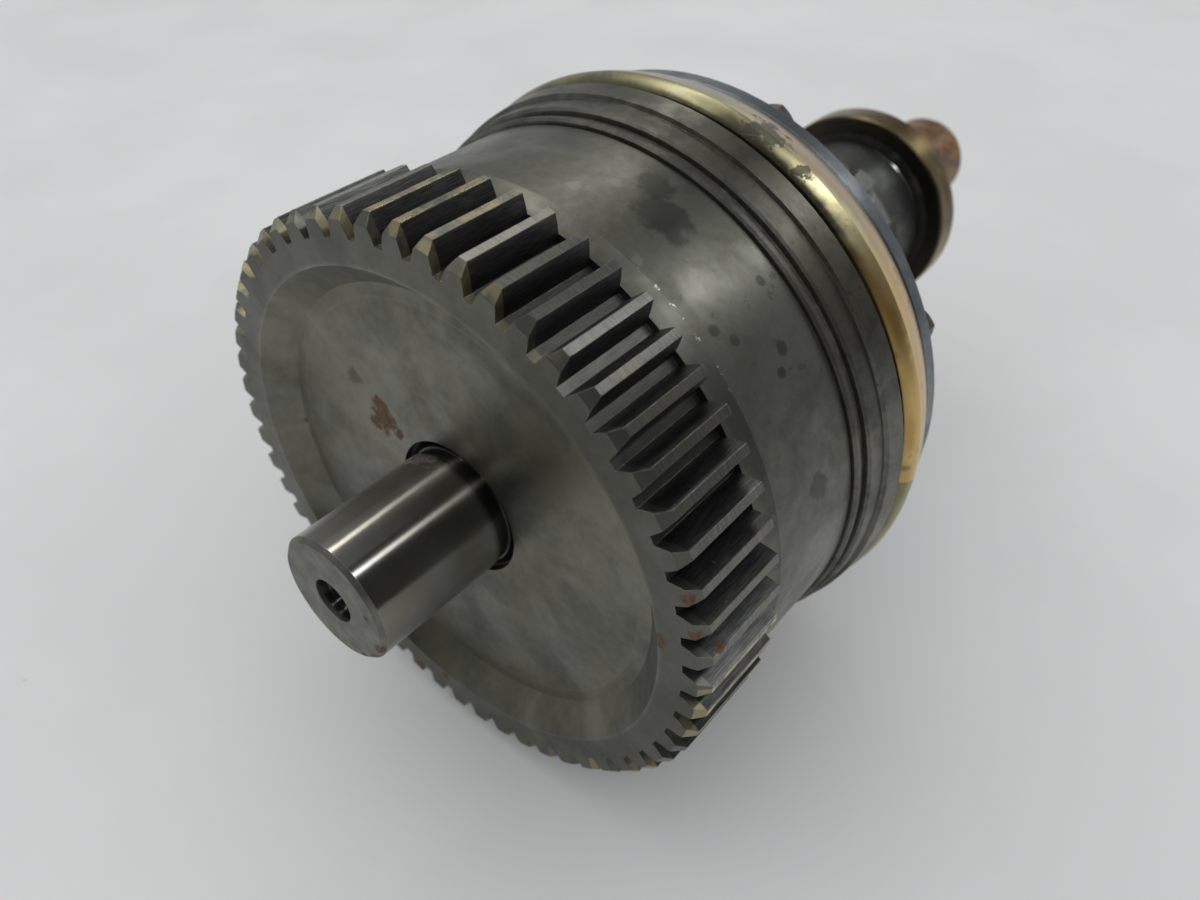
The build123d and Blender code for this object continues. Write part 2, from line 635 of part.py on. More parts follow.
def sun_pinion_shaft():
    """Sun gear, hub journal, output pinion and end journal on one shaft."""
    c = PINION_CHAMFER
    nose = FLANGE_REAR - NOSE_LENGTH
    sun_front = PLANET_FRONT - 0.4
    seat_front = HUB_BEARING_FRONT - 2
    land_rear = COVER_REAR + 1
    groove_front = END_BEARING_REAR + CIRCLIP_PLAY
    groove_rear = groove_front + CIRCLIP_THICKNESS
    groove_r = END_SEAT_R - OUTER_GROOVE_DEPTH
    blank = turned(
        (nose, 0), (nose, NOSE_R - c), (nose + c, NOSE_R), (sun_front, NOSE_R),
        (sun_front, SUN_ROOT_R), (PLANET_REAR, SUN_ROOT_R), (PLANET_REAR + 1, SUN_TIP_R),
        (seat_front, SUN_TIP_R), (seat_front, HUB_BEARING_BORE_R - c),
        (seat_front + c, HUB_BEARING_BORE_R), (HUB_BEARING_REAR, HUB_BEARING_BORE_R),
        (HUB_BEARING_REAR, SEAL_LAND_R), (land_rear, SEAL_LAND_R), (land_rear, PINION_ROOT_R),
        (PINION_COLLAR_REAR, PINION_ROOT_R), (PINION_COLLAR_REAR, END_SHOULDER_R),
        (END_BEARING_FRONT, END_SHOULDER_R), (END_BEARING_FRONT, END_SEAT_R), (groove_front, END_SEAT_R),
        (groove_front, groove_r), (groove_rear, groove_r), (groove_rear, END_SEAT_R),
        (groove_rear + 1.8, END_SEAT_R), (groove_rear + 5.3, STUB_R),
        (STUB_END - 4, STUB_R), (STUB_END - 1.2, STUB_R - 1.2), (STUB_END, STUB_R - 4), (STUB_END, 0),
    )
    thickness = math.pi * MODULE_INNER / 2 - BACKLASH / 2
    sun = gear_prism(
        sun_front, PLANET_REAR + 0.4, TEETH_SUN, MODULE_INNER,
        SUN_TIP_R, SUN_ROOT_R, 0.0, thickness,
    )
    return blank + sun + pinion_blank()


def end_circlip():
    """External circlip behind the end bearing."""
    front = END_BEARING_REAR + CIRCLIP_PLAY
    inner = END_SEAT_R - OUTER_GROOVE_DEPTH
    ring = tube(front, front + CIRCLIP_THICKNESS, inner, END_SEAT_R + CIRCLIP_HEIGHT)
    return ring - Pos(front, END_SEAT_R, 0) * Box(*CIRCLIP_GAP)


def end_bearing_shields():
    """Thin dished shields that close both sides of the end bearing."""
    pitch_r, ball_r = bearing_sizes(END_BEARING_WIDTH, END_SEAT_R, END_BEARING_R)
    inner = pitch_r - LAND_FRACTION * ball_r + 0.3
    outer = pitch_r + LAND_FRACTION * ball_r
    front_x = END_BEARING_FRONT + SHIELD_SINK
    rear_x = END_BEARING_REAR - SHIELD_SINK
    front = tube(front_x, front_x + SHIELD_THICKNESS, inner, outer)
    rear = tube(rear_x - SHIELD_THICKNESS, rear_x, inner, outer)
    return Compound([front.solid(), rear.solid()])


# ---------------------------------------------------------------- all the pieces
FRONT_BEARING = (FRONT_BEARING_FRONT, FRONT_BEARING_WIDTH, SHAFT_R, FRONT_BEARING_R)
HUB_BEARING = (HUB_BEARING_FRONT, HUB_BEARING_WIDTH, HUB_BEARING_BORE_R, HUB_BEARING_R)
END_BEARING = (END_BEARING_FRONT, END_BEARING_WIDTH, END_SEAT_R, END_BEARING_R)

pieces = {
    "carrier_shaft": carrier_shaft(),
    "carrier_rear_plate": carrier_rear_plate(),
    "planet_pins": planet_pins(),
    "carrier_spacers": carrier_spacers(),
    "carrier_screws": carrier_screws(),
    "thrust_washers": thrust_washers(),
    "pilot_bush": pilot_bush(),
    "gear_drum": gear_drum(),
    "ring_gear": ring_gear(),
    "front_seal": front_seal(),
    "bearing_circlip": bearing_circlip(),
    "joint_gaskets": joint_gaskets(),
    "spacer_ring": spacer_ring(),
    "rear_flange": rear_flange(),
    "plated_ring": plated_ring(),
    "cover_plate": cover_plate(),
    "cover_bolts": cover_bolts(),
    "rear_seal": rear_seal(),
    "sun_pinion_shaft": sun_pinion_shaft(),
    "end_circlip": end_circlip(),
    "end_bearing_shields": end_bearing_shields(),
}

for number, planet_angle in enumerate(PLANET_ANGLES, start=1):
    pieces[f"planet_gear_{number}"] = planet_gear(planet_angle)
    pieces[f"planet_bush_{number}"] = planet_bush(planet_angle)

for name, sizes, ball_count in (
    ("front_bearing", FRONT_BEARING, 11),
    ("hub_bearing", HUB_BEARING, 12),
    ("end_bearing", END_BEARING, 14),
):
    pieces[f"{name}_inner_ring"] = bearing_inner(*sizes)
    pieces[f"{name}_outer_ring"] = bearing_outer(*sizes)
    pieces[f"{name}_balls"] = bearing_balls(*sizes, ball_count)
    pieces[f"{name}_cage"] = bearing_cage(*sizes, ball_count)

os.makedirs("parts", exist_ok=True)
for name, shape in pieces.items():
    export_step(shape, f"parts/{name}.step")
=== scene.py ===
import math

import bpy
from mathutils import Matrix, Vector


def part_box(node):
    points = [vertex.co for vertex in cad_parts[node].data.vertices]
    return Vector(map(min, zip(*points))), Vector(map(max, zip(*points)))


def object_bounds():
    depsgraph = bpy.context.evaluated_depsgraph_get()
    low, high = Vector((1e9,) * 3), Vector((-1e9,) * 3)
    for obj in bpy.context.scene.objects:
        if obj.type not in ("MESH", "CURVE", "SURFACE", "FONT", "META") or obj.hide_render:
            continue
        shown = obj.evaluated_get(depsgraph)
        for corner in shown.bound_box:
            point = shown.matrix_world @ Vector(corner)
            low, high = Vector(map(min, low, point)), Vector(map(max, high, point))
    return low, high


# Looks for the planetary gearbox: one procedural material per finish, a pale table and soft studio light.
# Lengths are in metres, in the part's own frame: +X along the shafts, +Z up.
# Angles round the shafts start at +Y and grow towards +Z.

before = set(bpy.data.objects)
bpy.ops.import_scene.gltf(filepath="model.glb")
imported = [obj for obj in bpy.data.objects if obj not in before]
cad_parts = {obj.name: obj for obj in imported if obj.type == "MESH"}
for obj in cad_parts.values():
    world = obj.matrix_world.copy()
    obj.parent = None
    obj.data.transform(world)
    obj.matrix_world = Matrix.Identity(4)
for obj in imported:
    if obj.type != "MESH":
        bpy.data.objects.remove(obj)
CAD_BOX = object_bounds()
MM = 0.001
DEG = math.radians(1.0)


# ---------------------------------------------------------------- stations and radii
def stations(node):
    """Front and rear station of a node on the main axis."""
    low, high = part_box(node)
    return low[0], high[0]


def outer_radius(node):
    """Outer radius of a node on the main axis."""
    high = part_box(node)[1]
    return max(high[1], high[2])


TOOTH_R = outer_radius("gear_drum")
ROOT_R = TOOTH_R - 5.6 * MM
DRUM_WALL_R = TOOTH_R - 2.75 * MM
TEETH_REAR = 24.5 * MM
CHAMFER_REAR = 2.0 * MM
RIDGE_X = 29.6 * MM
WEB_X = 6 * MM
JOURNAL_END = stations("carrier_shaft")[0]
CENTRE_HOLE_R = 5.25 * MM
BAND_R = outer_radius("rear_flange")
RING_FRONT, RING_REAR = stations("plated_ring")
RING_R = outer_radius("plated_ring")
COVER_REAR = stations("cover_plate")[1]
BEARING_FRONT, BEARING_REAR = stations("end_bearing_outer_ring")


def around(station, radius, degrees):
    """A point given by its station, radius and angle round the axis."""
    turn = degrees * DEG
    return (station, radius * math.cos(turn), radius * math.sin(turn))


# ---------------------------------------------------------------- base colours: linear red, green and blue
RUST_DARK = (0.040, 0.023, 0.010)
RUST_LIGHT = (0.145, 0.068, 0.022)

DRUM_DARK = (0.115, 0.115, 0.094)
DRUM_LIGHT = (0.21, 0.21, 0.182)
WEB_OIL = (0.20, 0.185, 0.125)
DRUM_SMOKE = (0.062, 0.064, 0.060)
WEB_RING_HIGHLIGHT = (0.26, 0.26, 0.23)
RIM_FACE = (0.080, 0.079, 0.066)
# Tooth flank colours: dark with painted shade between the teeth.
FLANK_SHADE_DARK = (0.055, 0.056, 0.056)
FLANK_SHADE_LIGHT = (0.115, 0.116, 0.112)
TIP_DARK = (0.125, 0.125, 0.112)
TIP_LIGHT = (0.215, 0.213, 0.195)
TIP_OIL = (0.24, 0.215, 0.14)
# Painted golden highlight for some tooth tips.
TIP_GLINT = (0.62, 0.53, 0.30)
CHAMFER_DARK = (0.135, 0.135, 0.120)
CHAMFER_GLINT = (0.30, 0.27, 0.17)
DRUM_WORN = (0.46, 0.45, 0.40)
DRUM_STAIN = (0.062, 0.064, 0.054)
DRUM_SCUFF = (0.27, 0.27, 0.22)
DRUM_FRECKLE = (0.070, 0.070, 0.055)
BURR_GLINT = (0.75, 0.74, 0.68)

JOURNAL_WARM = (0.27, 0.26, 0.22)
JOURNAL_COOL = (0.33, 0.33, 0.32)
JOURNAL_LINE = (0.13, 0.12, 0.09)
END_FACE_DARK = (0.135, 0.135, 0.115)
END_FACE_LIGHT = (0.22, 0.22, 0.19)
HOLE_SHADE = (0.035, 0.034, 0.032)
UNDERCUT_SHADE = (0.06, 0.058, 0.05)

BAND_DARK = (0.075, 0.075, 0.064)
BAND_LIGHT = (0.170, 0.167, 0.145)
BAND_STREAK = (0.26, 0.25, 0.22)
BAND_OIL = (0.15, 0.13, 0.085)
BAND_BLOTCH = (0.055, 0.055, 0.050)
BAND_SPOT = (0.075, 0.050, 0.030)
BAND_GAP_SHADE = (0.012, 0.011, 0.010)
BAND_WORN = (0.40, 0.39, 0.35)

ZINC_LIP_SHADE = (0.13, 0.115, 0.08)
ZINC_CREST_HIGHLIGHT = (0.66, 0.60, 0.34)
ZINC_TAN = (0.46, 0.34, 0.20)
ZINC_BROWN = (0.38, 0.30, 0.17)
ZINC_GREEN = (0.46, 0.50, 0.24)
ZINC_SIDE_SHEEN = (0.60, 0.36, 0.10)
ZINC_TOP_SHADE = (0.16, 0.15, 0.09)
ZINC_REAR_DARK = (0.17, 0.12, 0.05)
ZINC_WORN = (0.065, 0.066, 0.055)

COVER_DARK = (0.125, 0.138, 0.150)
COVER_LIGHT = (0.205, 0.220, 0.238)
COVER_RIM_WEAR_AND_GLINT = (0.60, 0.62, 0.63)
COVER_GRIME = (0.10, 0.10, 0.09)

PINION_DARK = (0.080, 0.083, 0.078)
PINION_LIGHT = (0.165, 0.170, 0.160)
PINION_LINE = (0.19, 0.195, 0.185)
PINION_LAND = (0.30, 0.31, 0.28)
PINION_WORN = (0.55, 0.54, 0.50)
STUB_RUST_DARK = (0.085, 0.042, 0.014)
STUB_RUST_LIGHT = (0.30, 0.135, 0.034)

RACE_DARK = (0.085, 0.063, 0.028)
RACE_LIGHT = (0.22, 0.165, 0.075)
RACE_EDGE_WEAR_AND_GLINT = (0.34, 0.28, 0.17)
RACE_FACE_SHADE = (0.045, 0.042, 0.038)

POLISHED = (0.62, 0.61, 0.58)
POLISHED_OIL = (0.50, 0.46, 0.36)
HARD_DARK = (0.20, 0.195, 0.18)
HARD_LIGHT = (0.38, 0.375, 0.35)
HARD_WORN = (0.60, 0.59, 0.55)
OXIDE_DARK = (0.055, 0.05, 0.045)
OXIDE_LIGHT = (0.15, 0.13, 0.11)
OXIDE_WORN = (0.40, 0.38, 0.34)
BRONZE_TARNISH = (0.30, 0.17, 0.06)
BRONZE_BRIGHT = (0.62, 0.42, 0.18)
RUBBER = (0.012, 0.012, 0.012)
RUBBER_DUST = (0.055, 0.05, 0.042)
PAPER = (0.040, 0.036, 0.028)
PAPER_FRAYED = (0.11, 0.095, 0.070)

TABLE_GREY = (0.74, 0.74, 0.735)
TABLE_PALE = (0.79, 0.79, 0.785)
TABLE_SMUDGE = (0.42, 0.40, 0.40)
TABLE_SPECK = (0.30, 0.28, 0.26)


# ---------------------------------------------------------------- shader building blocks
BEVEL_SAMPLES = 6
FLAT, SHARP = 0.99, 0.80
RAGGEDNESS = 3.2
TURNING_DRIFT = 0.35 * MM


class Shader:
    """A small wrapper that adds nodes to one material and links them by value or socket."""

    def __init__(self, name):
        self.material = bpy.data.materials.new(name)
        self.material.use_nodes = True
        self.tree = self.material.node_tree
        self.tree.nodes.clear()
        self.output = self.tree.nodes.new("ShaderNodeOutputMaterial")
        self.position = self.node("TexCoord").outputs["Object"]
        parts = self.node("SeparateXYZ", Vector=self.position).outputs
        self.x = parts["X"]
        self.y = parts["Y"]
        self.z = parts["Z"]
        self.radius = self.math("SQRT", self.plus(self.times(self.y, self.y), self.times(self.z, self.z)))
        self.angle = self.math("ARCTAN2", self.z, self.y)

    def node(self, kind, **inputs):
        """A new node, its inputs given by name with _ for each space."""
        made = self.tree.nodes.new("ShaderNode" + kind)
        for name, value in inputs.items():
            self.feed(made.inputs[name.replace("_", " ")], value)
        return made

    def feed(self, socket, value):
        """Link a socket into an input, or set the input to a plain value."""
        if isinstance(value, bpy.types.NodeSocket):
            self.tree.links.new(value, socket)
        elif isinstance(value, (tuple, list)) and len(value) == 3 and socket.type == "RGBA":
            socket.default_value = (*value, 1.0)
        else:
            socket.default_value = value

    def math(self, operation, first, second=0.0, clamp=False):
        made = self.tree.nodes.new("ShaderNodeMath")
        made.operation = operation
        made.use_clamp = clamp
        self.feed(made.inputs[0], first)
        self.feed(made.inputs[1], second)
        return made.outputs[0]

    def plus(self, first, second):
        return self.math("ADD", first, second)

    def minus(self, first, second):
        return self.math("SUBTRACT", first, second)

    def most(self, first, second):
        return self.math("MAXIMUM", first, second)

    def times(self, *factors):
        product = factors[0]
        for factor in factors[1:]:
            product = self.math("MULTIPLY", product, factor)
        return product

    def vector(self, x, y, z):
        return self.node("CombineXYZ", X=x, Y=y, Z=z).outputs[0]

    def vector_math(self, operation, first, second):
        """One number from two vectors, such as their distance."""
        made = self.tree.nodes.new("ShaderNodeVectorMath")
        made.operation = operation
        self.feed(made.inputs[0], first)
        self.feed(made.inputs[1], second)
        return made.outputs["Value"]

    def ramp(self, value, low, high):
        """0 below low, 1 above high, and the reverse if low is the larger."""
        made = self.node("MapRange", Value=value)
        made.interpolation_type = "SMOOTHSTEP"
        made.clamp = True
        flip = low > high
        for index, number in enumerate((min(low, high), max(low, high), float(flip), float(not flip)), start=1):
            made.inputs[index].default_value = number
        return made.outputs[0]

    def between(self, value, low, high, soft):
        """1 between low and high, 0 outside, with soft steps."""
        return self.times(self.ramp(value, low - soft, low + soft), self.ramp(value, high + soft, high - soft))

    def noise(self, vector, scale, detail=4.0, roughness=0.55, distortion=0.0):
        return self.node("TexNoise", Vector=vector, Scale=scale, Detail=detail,
                         Roughness=roughness, Distortion=distortion).outputs["Fac"]

    def grain(self, scale, detail=4.0, roughness=0.55, distortion=0.0):
        """Noise over the whole body; scale is in cells per metre."""
        return self.noise(self.position, scale, detail, roughness, distortion)

    def patches(self, low, high, scale, detail=4.0, roughness=0.55, distortion=0.0):
        """Scattered patches: noise cut between two levels."""
        return self.ramp(self.grain(scale, detail, roughness, distortion), low, high)

    def blend(self, amount, first, second):
        """A number between two, by amount."""
        made = self.tree.nodes.new("ShaderNodeMix")
        made.data_type = "FLOAT"
        self.feed(made.inputs[0], amount)
        self.feed(made.inputs[2], first)
        self.feed(made.inputs[3], second)
        return made.outputs[0]

    def mix(self, amount, first, second):
        """A colour between two, by amount."""
        made = self.tree.nodes.new("ShaderNodeMix")
        made.data_type = "RGBA"
        self.feed(made.inputs[0], amount)
        self.feed(made.inputs[6], first)
        self.feed(made.inputs[7], second)
        return made.outputs[2]

    def lay(self, colour, over, mask, strength):
        """A colour with another laid over it where the mask is 1, at part strength."""
        return self.mix(self.times(mask, strength), colour, over)

    def blob(self, centre, size, ragged=0.9, scale=260.0, soft=0.25):
        """A ragged patch round a point: 1 inside, 0 outside, its edge broken up by noise."""
        distance = self.vector_math("DISTANCE", self.position, centre)
        wobble = self.times(self.minus(self.grain(scale, 5.0, 0.65), 0.5), RAGGEDNESS * ragged * size)
        return self.ramp(self.plus(distance, wobble), size, size * (1 - soft))

    def blobs(self, places, ragged, scale, soft=0.25):
        """Ragged patches at (station, radius, degrees, size) places, joined into one mask."""
        mask = None
        for station, radius, degrees, size in places:
            patch = self.blob(around(station, radius, degrees), size, ragged, scale, soft)
            mask = patch if mask is None else self.most(mask, patch)
        return mask

    def turning(self, pitch):
        """Fine lathe marks: noise that only changes along the profile, with a little drift round it."""
        profile = self.vector(self.x, self.radius, self.times(self.angle, TURNING_DRIFT))
        return self.noise(profile, 1.0 / pitch, 3.0, 0.7)

    def rounded(self, radius):
        """The surface normal with every edge rounded to a radius."""
        bevel = self.node("Bevel", Radius=radius)
        bevel.samples = BEVEL_SAMPLES
        return bevel.outputs[0]

    def edges(self, radius):
        """1 where the surface bends sharply within a radius, 0 on open faces."""
        normal = self.node("NewGeometry").outputs["Normal"]
        return self.ramp(self.vector_math("DOT_PRODUCT", self.rounded(radius), normal), FLAT, SHARP)

    def finish(self, color, roughness, metallic, height=None, relief=0.02 * MM, soft_edge=0.15 * MM, **extra):
        """The material: a surface with bumps of the relief's height and edges softened to a radius."""
        shader = self.node("BsdfPrincipled", Base_Color=color, Roughness=roughness, Metallic=metallic, **extra)
        normal = self.rounded(soft_edge) if soft_edge else None
        if height is not None:
            bump = self.node("Bump", Height=height, Distance=relief, Strength=1.0)
            if normal:
                self.feed(bump.inputs["Normal"], normal)
            normal = bump.outputs[0]
        if normal:
            self.feed(shader.inputs["Normal"], normal)
        self.feed(self.output.inputs["Surface"], shader.outputs[0])
        return self.material


def rust_colour(s):
    return s.mix(s.patches(0.35, 0.65, scale=900.0, detail=6.0, roughness=0.7), RUST_DARK, RUST_LIGHT)


def weathered_steel(s, dark, light, stain_scale):
    """Steel colour clouded by old oil: broad patches, finer mottling and turned rings."""
    broad = s.patches(0.35, 0.68, scale=stain_scale, detail=3.0, roughness=0.5, distortion=0.6)
    fine = s.patches(0.3, 0.75, scale=stain_scale * 7, detail=6.0, roughness=0.65)
    cloud = s.plus(s.times(broad, 0.65), s.times(fine, 0.35))
    rings = s.turning(0.25 * MM)
    shade = s.math("ADD", cloud, s.times(s.minus(rings, 0.5), 0.35), clamp=True)
    return s.mix(shade, dark, light), cloud, rings


# ---------------------------------------------------------------- the big gear and drum
# Marks are given by station, radius, angle in degrees and size.
DRUM_STAINS = (
    (45 * MM, DRUM_WALL_R, 111, 7 * MM),
    (50 * MM, DRUM_WALL_R, 106, 5 * MM),
    (34 * MM, DRUM_WALL_R, 131, 1.6 * MM),
    (37 * MM, DRUM_WALL_R, 134, 1.2 * MM),
    (52 * MM, DRUM_WALL_R, 129, 1.4 * MM),
    (47 * MM, DRUM_WALL_R, 140, 2.0 * MM),
    (44 * MM, DRUM_WALL_R, 143, 1.3 * MM),
    (45 * MM, DRUM_WALL_R, 165, 3.4 * MM),
    (WEB_X, 37 * MM, 37, 3.0 * MM),
)
DRUM_SCUFFS = (
    (37 * MM, DRUM_WALL_R, 97, 2.2 * MM),
    (45 * MM, DRUM_WALL_R, 101, 1.8 * MM),
    (31 * MM, DRUM_WALL_R, 115, 1.6 * MM),
)
DRUM_RUST = (
    (WEB_X, 25.5 * MM, 33, 4.4 * MM),
    (WEB_X, 28.5 * MM, 39, 2.6 * MM),
    (WEB_X, 27.0 * MM, 25, 2.4 * MM),
    (WEB_X, 20.5 * MM, 36, 1.8 * MM),
    (WEB_X, 54 * MM, -3, 1.0 * MM),
    (0, 60 * MM, 173, 2.2 * MM),
    (0, 68 * MM, -76, 2.6 * MM),
    (0, 62 * MM, -84, 1.6 * MM),
    (0.5 * MM, TOOTH_R - 2 * MM, 161, 1.7 * MM),
    (0.5 * MM, TOOTH_R - 2 * MM, 168, 2.0 * MM),
    (5 * MM, TOOTH_R, 172, 2.0 * MM),
    (22 * MM, TOOTH_R, -178, 1.6 * MM),
)


def web_and_rim(s, colour, front_face):
    """Oil film, smoky clouds and a painted highlight line on a faint ring of the web; a darker front face on
    the rim.
    """
    on_web = s.times(s.ramp(s.radius, 62 * MM, 56 * MM), s.ramp(s.x, WEB_X + 2 * MM, WEB_X - 1 * MM))
    film = s.patches(0.42, 0.62, scale=32.0, detail=4.0, roughness=0.6, distortion=0.8)
    colour = s.lay(colour, WEB_OIL, s.times(on_web, film), 0.5)
    shifted = s.vector(s.x, s.plus(s.y, 0.3), s.z)
    smoky = s.ramp(s.noise(shifted, 45.0, 5.0, 0.62, 0.5), 0.52, 0.66)
    colour = s.lay(colour, DRUM_SMOKE, smoky, 0.35)
    # Painted highlight: a lighter line round the web at about 51 mm radius.
    ring_highlight = s.between(s.radius, 50.6 * MM, 51.0 * MM, 0.35 * MM)
    colour = s.lay(colour, WEB_RING_HIGHLIGHT, s.times(ring_highlight, on_web), 0.3)
    rim_face = s.times(s.ramp(s.radius, 60 * MM, 61 * MM), front_face)
    return s.lay(colour, RIM_FACE, rim_face, 0.55)


def tooth_tips(s):
    """Colour of the tooth tips, and where a painted golden highlight lies on them: at the top and low on the
    left.
    """
    feed_lines = s.vector(s.x, s.times(s.y, 0.05), s.times(s.z, 0.05))
    colour = s.mix(s.ramp(s.noise(feed_lines, 5200.0, 2.0, 0.6), 0.3, 0.7), TIP_DARK, TIP_LIGHT)
    smeared = s.patches(0.5, 0.66, scale=85.0, detail=4.0, roughness=0.6)
    colour = s.lay(colour, TIP_OIL, smeared, 0.25)
    # Painted highlight: gold on the tips at the top and low on the left.
    from_top = s.math("ABSOLUTE", s.minus(s.angle, 87 * DEG))
    tip_glint = s.most(s.ramp(from_top, 12 * DEG, 6 * DEG), s.ramp(s.angle, -163 * DEG, -168 * DEG))
    tip_glint = s.times(tip_glint, s.patches(0.38, 0.6, scale=130.0, detail=5.0, roughness=0.65))
    return s.mix(tip_glint, colour, TIP_GLINT), tip_glint


def drum_marks(s, colour):
    """Worn edges, dark stains, pale scuffs and freckles on the drum."""
    worn = s.times(s.edges(0.22 * MM), s.patches(0.38, 0.6, scale=500.0, detail=3.0))
    colour = s.lay(colour, DRUM_WORN, worn, 0.6)
    for station, radius, degrees, size in DRUM_STAINS:
        stain = s.blob(around(station, radius, degrees), size, ragged=0.7, scale=150.0, soft=0.4)
        colour = s.lay(colour, DRUM_STAIN, stain, 0.7)
    for station, radius, degrees, size in DRUM_SCUFFS:
        scuff = s.blob(around(station, radius, degrees), size, ragged=1.0, scale=300.0, soft=0.6)
        colour = s.lay(colour, DRUM_SCUFF, scuff, 0.45)
    freckles = s.times(s.patches(0.62, 0.68, scale=260.0, detail=3.0, roughness=0.6),
                       s.between(s.angle, 120 * DEG, 160 * DEG, 6 * DEG),
                       s.ramp(s.x, RIDGE_X, RIDGE_X + 2 * MM))
    return s.lay(colour, DRUM_FRECKLE, freckles, 0.45)


def ridge_burr_glint(s):
    """Short bright nicks on the ridge behind the teeth, painted only on one stretch where they catch the light:
    real nicks with a painted glint.
    """
    return s.times(s.between(s.x, RIDGE_X - 0.2 * MM, RIDGE_X + 0.5 * MM, 0.2 * MM),
                   s.patches(0.56, 0.62, scale=620.0, detail=5.0, roughness=0.8),
                   s.ramp(s.radius, DRUM_WALL_R - 1.0 * MM, DRUM_WALL_R - 0.3 * MM),
                   s.between(s.angle, 118 * DEG, 143 * DEG, 5 * DEG))


def drum_steel():
    """Big gear and drum: turned steel, dull and stained, with tooth flanks darkened by painted shade and worn
    tooth tips, some with a painted golden highlight.
    """
    s = Shader("drum_steel")
    front_face = s.ramp(s.x, 0.15 * MM, 0.02 * MM)
    colour, cloud, rings = weathered_steel(s, DRUM_DARK, DRUM_LIGHT, 55.0)
    colour = web_and_rim(s, colour, front_face)

    in_teeth = s.times(s.ramp(s.x, TEETH_REAR + 0.4 * MM, TEETH_REAR),
                       s.ramp(s.radius, ROOT_R - 0.3 * MM, ROOT_R + 0.2 * MM))
    # Tooth flanks: painted shade darkens them, with the hobbing lines in it.
    flank = s.times(in_teeth, s.minus(1.0, front_face))
    hobbed = s.noise(s.vector(s.times(s.x, 0.06), s.y, s.z), 4200.0, 2.0, 0.6)
    colour = s.mix(flank, colour, s.mix(s.ramp(hobbed, 0.35, 0.7), FLANK_SHADE_DARK, FLANK_SHADE_LIGHT))
    tip_colour, tip_glint = tooth_tips(s)
    on_tip = s.times(s.ramp(s.radius, TOOTH_R - 0.25 * MM, TOOTH_R - 0.08 * MM), in_teeth)
    colour = s.mix(on_tip, colour, tip_colour)
    chamfer = s.times(s.ramp(s.x, CHAMFER_REAR + 0.2 * MM, CHAMFER_REAR),
                      s.ramp(s.x, 0.05 * MM, 0.2 * MM), in_teeth)
    # Painted highlight: golden patches on the chamfers, left out between about 120° and 180° round the axis,
    # where they face away from the light.
    bright = s.times(s.patches(0.42, 0.58, scale=150.0, detail=3.0), s.ramp(s.angle, 128 * DEG, 112 * DEG))
    colour = s.mix(chamfer, colour, s.mix(bright, CHAMFER_DARK, CHAMFER_GLINT))

    colour = drum_marks(s, colour)
    specks = s.times(s.patches(0.73, 0.78, scale=620.0, detail=2.0),
                     s.patches(0.48, 0.62, scale=40.0, detail=2.0))
    rust = s.most(s.blobs(DRUM_RUST, ragged=0.7, scale=380.0, soft=0.35), s.times(specks, 0.7))
    colour = s.lay(colour, rust_colour(s), rust, 0.9)
    # Bright nicks on the ridge: partly a painted glint.
    colour = s.mix(ridge_burr_glint(s), colour, BURR_GLINT)

    roughness = s.blend(cloud, 0.46, 0.32)
    roughness = s.blend(on_tip, roughness, s.blend(tip_glint, 0.34, 0.22))
    roughness = s.blend(rust, roughness, 0.9)
    pitted = s.plus(s.times(s.grain(700.0), 0.35), s.times(rust, 1.2))
    height = s.plus(s.times(s.blend(flank, rings, hobbed), 0.35), pitted)
    return s.finish(colour, roughness, s.blend(rust, 1.0, 0.0), height, relief=0.03 * MM, soft_edge=0.12 * MM)


# ---------------------------------------------------------------- the other finishes
JOURNAL_RUST = (
    (JOURNAL_END, 14.2 * MM, -158, 1.5 * MM),
    (JOURNAL_END, 11.0 * MM, 165, 0.8 * MM),
    (JOURNAL_END, 13.8 * MM, -120, 1.1 * MM),
    (JOURNAL_END, 14.4 * MM, -100, 0.9 * MM),
    (JOURNAL_END, 14.3 * MM, -140, 0.9 * MM),
)


